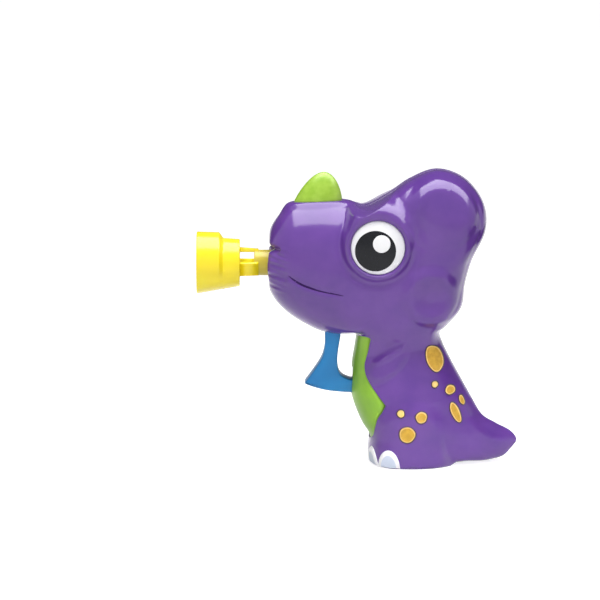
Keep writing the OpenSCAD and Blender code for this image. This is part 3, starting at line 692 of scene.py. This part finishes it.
def casing(wells):
    """One half: skin with its eye socket and screw wells, rolled lips and the flat of the sole."""
    grid = half_shell()
    parts = Parts()
    keep = np.ones((ROWS - 1, COLS + 1), bool)
    cut_round(grid, keep, parts, np.array(EYE), EYE_R + 3, eye_rings())
    for place in wells:
        cut_round(grid, keep, parts, np.array(place), WELL_R + 1.8, well_rings())
    parts.add(grid, grid_faces(ROWS, COLS + 2, keep=keep))
    roll = mouth_roll(grid[0])
    parts.add(np.vstack(roll + [grid[0]]), grid_faces(len(roll) + 1, COLS + 2))
    parts.add(np.vstack([grid[-1], grid[-1] * [1, 0, 1]]), grid_faces(2, COLS + 2))
    return parts


left_half = casing([])
right_half = casing(SCREWS).mirrored()
dress(left_half.mesh("left_casing_skin"), purple, "purple_shell", "housing", "left_casing")
dress(right_half.mesh("right_casing_skin"), purple, "purple_shell", "housing", "right_casing")


def mouth_crease_shade():
    """Painted shade: dark strips laid along the bottoms of the mouth creases."""
    place = spline(MOUTH_LINE, np.linspace(0, len(MOUTH_LINE) - 1, 61))
    along = np.gradient(place, axis=0)
    across = np.stack([-along[:, 1], along[:, 0]], -1) / np.linalg.norm(along, axis=1)[:, None]
    wide = 0.55 * np.sqrt(np.sin(np.linspace(0.02, math.pi - 0.02, 61)))[:, None]
    rows = []
    for step, height in ((-1, -0.2), (-0.8, 0.03), (0, 0.06), (0.8, 0.03), (1, -0.2)):
        x, z = (place + across * wide * step).T
        rows.append(np.stack([x, -skin_depth(x, z) - height, z], -1))
    parts = Parts()
    parts.add(np.vstack(rows), grid_faces(len(rows), 61))
    far = parts.mirrored()
    parts.add(far.points, far.faces)
    return parts


# The strips are painted shade, not a colour of the casing.
dress(mouth_crease_shade().mesh("mouth_crease_shade_line"), crease_shade_paint, "purple_shell", "housing")


# Belly panel: a bent sheet with a slot for the trigger's lower arm

# Half width, lowest and highest z of the slot
ARM_SLOT = (5.9, 31.8, 43.8)
BELLY_SET_IN = 0.45
BELLY_THICK = 1.8
BELLY_GAP = 0.4


def belly():
    rows, cols = 90, 22
    s = np.linspace(BELLY_FIRST, BELLY_LAST, rows)
    front_z = spline(STATIONS, s)[:, 1]
    for level in ARM_SLOT[1:]:
        nearest = np.argmin(abs(front_z - level))
        s[nearest] = np.interp(-level, -front_z, s)
    q = spline(STATIONS, s)
    widest = q[:, 4] * arch(belly_share(s), q[:, 5], q[:, 6], q[:, 7])
    u = np.linspace(0, 1, cols)
    inner = np.minimum(ARM_SLOT[0], widest * 0.5)[:, None] * u
    outer = inner[:, -1:] + (widest - BELLY_GAP - inner[:, -1])[:, None] * u[1:]
    y = np.hstack([inner, outer])
    t = share_at(q[:, None, :], y)
    x = q[:, :1] + t * (q[:, 2:3] - q[:, :1]) + BELLY_SET_IN
    z = q[:, 1:2] + t * (q[:, 3:4] - q[:, 1:2])
    z = z + jaw_lift(x, y, z)
    half = np.stack([x, y, z], -1)
    sheet = np.concatenate([half[:, :0:-1] * [1, -1, 1], half], 1)
    inside = sheet * [1, 1, 1]
    inside[..., 0] += BELLY_THICK
    inside[..., 1] *= 0.93
    n = sheet.shape[1]
    middle = (sheet[:-1, :-1] + sheet[1:, 1:]) / 2
    half_width, low, high = ARM_SLOT
    keep = (abs(middle[..., 1]) > half_width) | (middle[..., 2] < low) | (middle[..., 2] > high)
    parts = Parts()
    parts.add(sheet, grid_faces(rows, n, keep=keep))
    parts.add(inside, [f[::-1] for f in grid_faces(rows, n, keep=keep)])
    first = rows * n
    rim = [i * n for i in range(rows)]
    for line in (rim, [i + n - 1 for i in rim], list(range(n)), [(rows - 1) * n + j for j in range(n)]):
        parts.faces += [(a, b, b + first, a + first) for a, b in zip(line[:-1], line[1:])]
    return parts


dress(belly().mesh("belly_panel_sheet"), lime, "green_plastic", "housing", "belly_panel")


# Horn: a leaning rounded cone, narrow across, with a plug below

HORN_LEAN = 2.6
HORN_FLAT = 0.57
HORN_PLUG = [(HORN_R - 0.5, -2.5), (HORN_R - 0.15, -0.3)]


def horn():
    u = 1 - (1 - np.linspace(0, 1, 48)) ** 2
    r = HORN_R * (1 - u ** 1.2) ** 0.52
    r[-1] = 0.02
    profile = np.vstack([HORN_PLUG, np.column_stack([r, HORN_H * u])])
    points, faces = lathe(profile, 96)
    lift = points[:, 2] / HORN_H
    x = points[:, 0] + HORN_X + HORN_LEAN * np.maximum(lift, 0)
    y = points[:, 1] * HORN_FLAT
    seat = horn_seat(points[:, 0] + HORN_X, y)
    z = seat * np.minimum(1 - lift, 1) + (horn_seat(HORN_X, 0) + HORN_H) * np.maximum(lift, 0)
    z = np.where(lift < 0, seat + points[:, 2], z)
    parts = Parts()
    parts.add(np.stack([x, y, z], -1), faces)
    return parts


dress(horn().mesh("horn_cone"), horn_lime, "green_plastic", "housing", "horn")


# Eyes: domed white disc, dark disc and small white dot, all on one sphere

DOME_R = (EYE_R ** 2 + EYE_RISE ** 2) / (2 * EYE_RISE)


def disc_on_dome(centre, radius, low, proud, steps=72):
    """Round-edged disc that follows the dome: place, radius, lowest depth, height above the dome."""
    parts = Parts()
    rows = []
    angle = np.arange(steps) * 2 * math.pi / steps
    rings = [(radius, low)] + [(radius - 0.35 * (1 - math.cos(a)), 0.35 * (math.sin(a) - 1))
                               for a in np.linspace(0, math.pi / 2, 5)]
    rings += [(r, 0.0) for r in np.linspace(radius - 0.5, 0.05, 14)]
    for r, drop in rings:
        x, z = centre[0] + r * np.cos(angle), centre[1] + r * np.sin(angle)
        away = np.hypot(x - EYE[0], z - EYE[1])
        depth = EYE_OUT - DOME_R + np.sqrt(DOME_R ** 2 - np.minimum(away, EYE_R) ** 2) + proud + drop
        rows.append(np.stack([x, -depth, z], -1))
    faces = grid_faces(len(rows), steps, closed=True)
    faces.append(tuple((len(rows) - 1) * steps + i for i in range(steps)))
    parts.add(np.vstack(rows), faces)
    return parts


PUPIL = (EYE[0] - 1.1, EYE[1] - 1.3)
GLINT = (EYE[0] + 1.6, EYE[1] + 2.0)
eye_parts = (("eye", EYE, EYE_R, -2.0, 0.0, white, "white_plastic"),
             ("pupil", PUPIL, 9.2, -0.4, 0.12, black, "black_plastic"))
for name, centre, radius, low, proud, material, slot in eye_parts:
    piece = disc_on_dome(centre, radius, low, proud)
    dress(piece.mesh("left_" + name + "_disc"), material, slot, "housing", "left_" + name)
    dress(piece.mirrored().mesh("right_" + name + "_disc"), material, slot, "housing", "right_" + name)
dots = disc_on_dome(GLINT, 4.0, -0.3, 0.24)
far_dot = dots.mirrored()
dots.add(far_dot.points, far_dot.faces)
dress(dots.mesh("eye_glint_dots"), white, "white_plastic", "housing", "eye_glints")


# Spots: low gold-painted cushions, with a painted highlight on their edge and a dark outline of painted
# shade

def spot_rings(a, b):
    """Size along and across, height over the skin and material of each ring, from outside in."""
    edge = min(0.55, 0.3 * b)
    rise = 0.42
    return [(a + 0.6, b + 0.6, -0.25, 2), (a + 0.5, b + 0.5, 0.07, 2), (a, b, 0.1, 2), (a, b, 0.2, 1),
            (a - 0.3 * edge, b - 0.3 * edge, rise, 1), (a - edge, b - edge, rise + 0.02, 1),
            (a - 1.5 * edge, b - 1.5 * edge, rise - 0.1, 0),
            (0.5 * (a - edge), 0.5 * (b - edge), rise - 0.06, 0), (0.02, 0.02, rise - 0.06, 0)]


SMALL_SPOT = 1.6


def spots(name, far):
    """Spots of one side; the smallest take the painted highlight all over."""
    parts, zones = Parts(), []
    steps = 40
    angle = np.arange(steps) * 2 * math.pi / steps
    for k, (cx, cz, a, b, tilt) in enumerate(SPOTS):
        c, s = math.cos(math.radians(tilt)), math.sin(math.radians(tilt))
        wobble = 1 + 0.025 * np.sin(3 * angle + k) + 0.015 * np.sin(5 * angle + 2 * k)
        rows = []
        rings = spot_rings(a, b)
        for long, wide, height, _ in rings:
            u, v = long * wobble * np.cos(angle), wide * wobble * np.sin(angle)
            x, z = cx + u * c - v * s, cz + u * s + v * c
            rows.append(np.stack([x, -skin_depth(x, z) - height, z], -1))
        parts.add(np.vstack(rows), grid_faces(len(rows), steps, closed=True))
        for ring in rings[1:]:
            zones += [max(ring[3], int(a < SMALL_SPOT))] * steps
    piece = (parts.mirrored() if far else parts).mesh(name)
    for material in (gold, gold_painted_highlight, spot_groove_shade):
        piece.data.materials.append(material)
    piece.data.polygons.foreach_set("material_index", zones)
    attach(piece, "housing")
    return piece


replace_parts(spots("left_spot_cushions", False), "left_spots")
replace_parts(spots("right_spot_cushions", True), "right_spots")


# Toenails: half-round raised nails, with painted shade on the inner half-round where a dimple's shade falls

# Middle of each nail in plan, half width, height and the turn of its face from straight sideways
NAILS = [(14.6, -20, 5.2, 8.4, 14), (7, -13.5, 5.2, 9, 66)]


def toenails():
    parts, zones = Parts(), []
    steps = 33
    angle = np.linspace(0, math.pi, steps)
    # Size, height over the skin and material of each ring, from outside in
    rings = [(1.05, -0.4, 0), (1.0, 0.35, 0), (0.92, 0.7, 0), (0.72, 0.8, 0), (0.66, 0.62, 1),
             (0.3, 0.7, 1), (0.01, 0.7, 1)]
    skin = BVHTree.FromPolygons(left_half.points.tolist(), left_half.faces)
    for cx, cy, wide, tall, turn in NAILS:
        c, s = math.cos(math.radians(turn)), math.sin(math.radians(turn))
        rows = []
        for scale, height, _ in rings:
            for a in angle:
                along = wide * scale * math.cos(a)
                level = max(tall * scale * math.sin(a), 0.4)
                start = Vector((cx + along * c - 20 * s, cy - along * s - 20 * c, level))
                place = skin.ray_cast(start, Vector((s, c, 0)))[0]
                rows.append(place + Vector((-s, -c, 0.3)).normalized() * height)
        faces = grid_faces(len(rings), steps)
        near = np.array(rows)
        parts.add(near, faces)
        parts.add(near * [1, -1, 1], [f[::-1] for f in faces])
        for ring in rings[1:] * 2:
            zones += [ring[2]] * (steps - 1)
    piece = parts.mesh("toenail_caps")
    for material in (nail_white, nail_painted_shade):
        piece.data.materials.append(material)
    piece.data.polygons.foreach_set("material_index", zones)
    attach(piece, "housing")
    return piece


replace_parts(toenails(), "toenails")


# Bubble ring: stepped funnel with inner ribs, struts and the stem in the mouth

RING_LONG = 19.4
RING_BACK = RING_FRONT + RING_LONG
STEM_FRONT = -46.0
STEM_BACK = -25.0
# Outside of the funnel: each corner's way back from the rim, and way in from it
RING_STEPS = [(0, 0), (10.2, 0.3), (12, 2.9), (RING_LONG, 3.4)]
# Taper of the underside, which has no step
BELOW_SLOPE = 0.175
# Turn of each strut about the air line and its width
STRUTS = [(0, 3.2), (112, 6.5), (248, 6.5)]


def turn_to_x(points):
    """From turned about z to turned about the air line."""
    return np.stack([points[:, 2], points[:, 0], points[:, 1] + AIR_Z], -1)


def about_air_line(points, degrees):
    c, s = math.cos(math.radians(degrees)), math.sin(math.radians(degrees))
    y, z = points[:, 1], points[:, 2]
    return np.stack([points[:, 0], y * c - z * s, y * s + z * c + AIR_Z], -1)


def straighten_below(points):
    """The underside of the funnel runs straight from front to back, without the step."""
    x, y, z = points[:, 0] - RING_FRONT, points[:, 1], points[:, 2] - AIR_Z
    r = np.hypot(y, z)
    stepped = np.interp(x, *np.transpose(RING_STEPS))
    change = (stepped - BELOW_SLOPE * x) * smooth(0.1, -0.75, z / r) / r
    return np.stack([points[:, 0], y * (1 + change), AIR_Z + z * (1 + change)], -1)


def bubble_ring():
    parts = Parts()
    f, b, r = RING_FRONT, RING_BACK, RING_R
    outer = [(r - way_in, f + way_back) for way_back, way_in in RING_STEPS]
    back = [(STEM_R + 0.3, b), (STEM_R + 0.3, b - 1.6)]
    inner = [(r - 5, b - 1.8), (r - 4.6, f + 12.6), (r - 2.0, f + 10.8), (r - 1.7, f + 3)]
    profile = inner[-1:] + [(r - 1.5, f)] + outer + back + inner
    points, faces = lathe(rounded(profile, 0.5), 96)
    parts.add(straighten_below(turn_to_x(points)), faces)
    rib = Parts()
    rib_side = [(f + 1.2, r - 2.4), (f + 9, r - 2.6), (f + 9.6, r - 1.4), (f + 0.8, r - 1.4)]
    slab(rib, rib_side, -0.4, 0.4, 0.15)
    for k in range(12):
        parts.add(straighten_below(about_air_line(rib.points, 30 * k)), rib.faces)
    start, end = b - 1.2, STEM_FRONT + 2
    strut_side = [(start, STEM_R - 0.9), (end, STEM_R - 0.9), (end, STEM_R + 0.5), (start, STEM_R + 1.2)]
    for turn, wide in STRUTS:
        strut = Parts()
        slab(strut, strut_side, -wide / 2, wide / 2, 0.3)
        parts.add(about_air_line(strut.points, turn), strut.faces)
    return parts


def ring_stem():
    parts = Parts()
    inner = STEM_R - 1.3
    f, b = STEM_FRONT, STEM_BACK
    profile = rounded([(inner, b), (inner, f), (STEM_R, f), (STEM_R, b), (inner, b)], 0.4)
    points, faces = lathe(profile, 64)
    parts.add(turn_to_x(points), faces)
    return parts


dress(bubble_ring().mesh("bubble_ring_funnel"), yellow, "yellow_plastic", "housing", "bubble_ring")
# The stem takes the painted-shade yellow.
dress(ring_stem().mesh("bubble_ring_stem"), shaded_stem_yellow, "yellow_plastic", "housing")


# Trigger: finger blade and shank, rack, lower arm and spring pin

SHANK_FRONT = -14.2
SHANK_REAR = -7.2
SHANK_LOW = 75.5
ARM_LOW = 32.2
ARM_HIGH = 38.0
BLADE_FRONT = [(SHANK_FRONT, 58), (-14.3, 53), (-15.6, 48), (-18.6, 43), (-23.2, 36.6)]
BLADE_FOOT = [(-23.2, 36.6), (-22.6, 35.9), (-18, 34.3), (-12, 33), (-3, ARM_LOW)]
BLADE_REAR = [(-2.9, ARM_HIGH), (-6.2, 39.5), (-8, 42), (-8.6, 46), (-8.3, 51), (SHANK_REAR, 58)]
RACK_TOP = 80.6
RACK_LINE = 77.0
RACK_X = (-10.0, 20.0)
RACK_Y = (7.3, 10.3)
GEAR_MODULE = 0.8
FIRST_GEAR_X = 14.0
ARM_END = 13.0
SPRING_Z = 35.2
SPRING_SEAT = 32.0


def run(points, n):
    """A line through points in n steps for each gap, without its last point."""
    return spline(points, np.arange((len(points) - 1) * n) / n)


def rack_outline():
    half = math.pi * GEAR_MODULE / 4 - 0.05
    slope = math.tan(math.radians(25))
    tip, low = 0.8 * GEAR_MODULE, GEAR_MODULE
    front, rear = RACK_X
    line = [(rear, RACK_TOP), (front, RACK_TOP), (front, RACK_LINE + low)]
    for k in range(-4, 2):
        x = FIRST_GEAR_X + math.pi * GEAR_MODULE * k
        line += [(x - half - low * slope, RACK_LINE + low), (x - half + tip * slope, RACK_LINE - tip),
                 (x + half - tip * slope, RACK_LINE - tip), (x + half + low * slope, RACK_LINE + low)]
    return line + [(rear, RACK_LINE + low)]


def trigger():
    parts = Parts()
    arm = [(ARM_END, ARM_LOW), (ARM_END, ARM_HIGH)]
    top = [(SHANK_REAR, RACK_TOP), (SHANK_FRONT, RACK_TOP)]
    blade = np.vstack([run(BLADE_FRONT, 6), run(BLADE_FOOT, 4), arm, run(BLADE_REAR, 5),
                       BLADE_REAR[-1:], top])
    slab(parts, blade, -TRIGGER_W / 2, TRIGGER_W / 2, 0.7)
    shank = [(SHANK_FRONT, SHANK_LOW), (SHANK_REAR, SHANK_LOW)] + top
    slab(parts, shank, TRIGGER_W / 2 - 1, RACK_Y[1], 0.3)
    slab(parts, rack_outline(), *RACK_Y, 0.08)
    points, faces = lathe(rounded([(2.2, 0), (2.2, 4), (0.02, 4)], 0.5), 32)
    parts.add(np.stack([points[:, 2] + ARM_END, points[:, 0], points[:, 1] + SPRING_Z], -1), faces)
    return parts


dress(trigger().mesh("trigger_blade"), blue, "blue_plastic", "trigger", "trigger")


# Return spring, squeezed between the lower arm and its seat

def return_spring():
    coil_r, wire_r, turns, steps, sides = 3.4, 0.45, 7, 40, 10
    start = ARM_END + wire_r + 0.05
    pitch = (SPRING_SEAT - ARM_END - 2 * wire_r - 0.1) / turns
    i = np.arange(turns * steps + 1)[:, None]
    a, b = 2 * math.pi * i / steps, 2 * math.pi * np.arange(sides) / sides
    r = coil_r + wire_r * np.cos(b)
    x = start + pitch * i / steps + wire_r * np.sin(b)
    points = np.stack([x, r * np.cos(a), SPRING_Z + r * np.sin(a)], -1)
    parts = Parts()
    faces = grid_faces(len(i), sides, closed=True)
    faces += [tuple(range(sides)), tuple(len(i) * sides - 1 - k for k in range(sides))]
    parts.add(points, faces)
    return parts


spring = dress(return_spring().mesh("return_spring_coil"), steel, "steel", "housing", "return_spring")
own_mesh(spring)


# Inner pieces keep their solids
INNER = {"air_duct": grey, "fan_housing": grey, "fan_cover": grey, "gear_plate": grey,
         "fan_wheel": yellow, "fan_shaft": steel, "fan_pinion": white, "first_gear": white,
         "second_gear": yellow, "gear_axles": steel, "gearbox_screws": steel, "casing_screws": steel}
for node, material in INNER.items():
    solid = frame["nodes"][node]
    solid.data.materials.clear()
    solid.data.materials.append(material)


# Floor, light and camera, in metres

def seen_straight(tree, otherwise, level):
    """One level for what is seen straight, in a mirror or through glass, and another for plain lighting."""
    path = tree.nodes.new("ShaderNodeLightPath")
    total = path.outputs["Is Camera Ray"]
    for ray in ("Is Glossy Ray", "Is Transmission Ray"):
        either = tree.nodes.new("ShaderNodeMath")
        either.operation = "MAXIMUM"
        tree.links.new(total, either.inputs[0])
        tree.links.new(path.outputs[ray], either.inputs[1])
        total = either.outputs["Value"]
    result = tree.nodes.new("ShaderNodeMapRange")
    result.inputs["To Min"].default_value = otherwise
    result.inputs["To Max"].default_value = level
    tree.links.new(total, result.inputs["Value"])
    return result.outputs["Result"]


def matt_grey(name, tone):
    """A matt grey with a slow drift, and its main shader node."""
    material, main = shader(name, (tone, tone, tone), 0.9, 0.1)
    stops = [(0.3, (tone - 0.02,) * 3), (0.7, (tone + 0.02,) * 3)]
    tone_field = blend_ramp(material, noise(material, 3.0), stops)
    material.node_tree.links.new(tone_field, main.inputs["Base Color"])
    return material, main


def stage_sheet(name, corners, material):
    """A four-cornered sheet that belongs to the studio and not to the object."""
    mesh = bpy.data.meshes.new(name)
    mesh.from_pydata(corners, [], [(0, 1, 2, 3)])
    mesh.materials.append(material)
    piece = bpy.data.objects.new(name, mesh)
    bpy.context.scene.collection.objects.link(piece)
    return piece


def dark_card(name, corners):
    """A dark card, seen only in the gloss, that keeps upper edges deep in colour."""
    card = stage_sheet(name, corners, matt_grey("card_grey", 0.2)[0])
    card.visible_camera = False
    card.visible_diffuse = False
    card.visible_shadow = False


def floor():
    """A pale floor that fills the view."""
    side = 4.0
    material, main = matt_grey("floor_white", 0.62)
    main.inputs["Emission Color"].default_value = (1, 1, 1, 1)
    seen = seen_straight(material.node_tree, 0.0, 0.8)
    material.node_tree.links.new(seen, main.inputs["Emission Strength"])
    stage_sheet("floor", [(-side, -side, 0), (side, -side, 0), (side, side, 0), (-side, side, 0)], material)


def soft_light(name, place, target, width, height, power, seen_by, spread=180):
    """An area lamp that matt surfaces, mirror surfaces or both answer to."""
    lamp = bpy.data.lights.new(name, "AREA")
    lamp.shape = "RECTANGLE"
    lamp.size, lamp.size_y = width, height
    lamp.energy = power
    lamp.spread = math.radians(spread)
    holder = bpy.data.objects.new(name, lamp)
    bpy.context.scene.collection.objects.link(holder)
    holder.location = place
    holder.visible_glossy = "mirror" in seen_by
    holder.visible_diffuse = "matt" in seen_by
    aim(holder, target)


def aim(holder, target):
    toward = Vector(target) - Vector(holder.location)
    holder.rotation_euler = toward.to_track_quat("-Z", "Y").to_euler()


def world():
    scene_world = bpy.data.worlds.new("studio")
    bpy.context.scene.world = scene_world
    scene_world.use_nodes = True
    tree = scene_world.node_tree
    back = tree.nodes["Background"]
    back.inputs["Color"].default_value = (1, 1, 1, 1)
    tree.links.new(seen_straight(tree, 0.32, 1.0), back.inputs["Strength"])


def camera():
    distance, elevation, seen_width = 2.0, math.radians(8), 0.27
    target = (-0.0254, 0.0, 0.0735)
    lens = bpy.data.cameras.new("camera")
    lens.sensor_width = 36
    lens.lens = lens.sensor_width * distance / seen_width
    holder = bpy.data.objects.new("camera", lens)
    bpy.context.scene.collection.objects.link(holder)
    away, up = distance * math.cos(elevation), distance * math.sin(elevation)
    holder.location = (target[0], -away, target[2] + up)
    aim(holder, target)
    bpy.context.scene.camera = holder


floor()
dark_card("card_behind", [(-1.4, 0.85, 0.16), (1.4, 0.85, 0.16), (1.4, 0.42, 0.95), (-1.4, 0.42, 0.95)])
dark_card("card_by_tail",
          [(0.095, -0.06, 0.1), (0.095, 0.08, 0.1), (0.15, 0.08, 0.055), (0.15, -0.06, 0.055)])
soft_light("top_softbox", (0.33, 0.0, 0.75), (0.33, 0.05, 0), 1.42, 0.7, 18, "mirror")
soft_light("top_fill", (0.03, -0.12, 0.75), (0.03, 0, 0.08), 0.6, 0.55, 5.5, "matt")
soft_light("front_fill", (-0.2, -1.4, 0.45), (0, 0, 0.07), 1.0, 0.8, 7, "matt")
soft_light("low_strip", (0.55, -0.75, 0.1), (0.055, 0, -0.005), 0.4, 0.1, 0.05, "matt", 12)
world()
camera()
bpy.context.scene.view_settings.view_transform = "Standard"
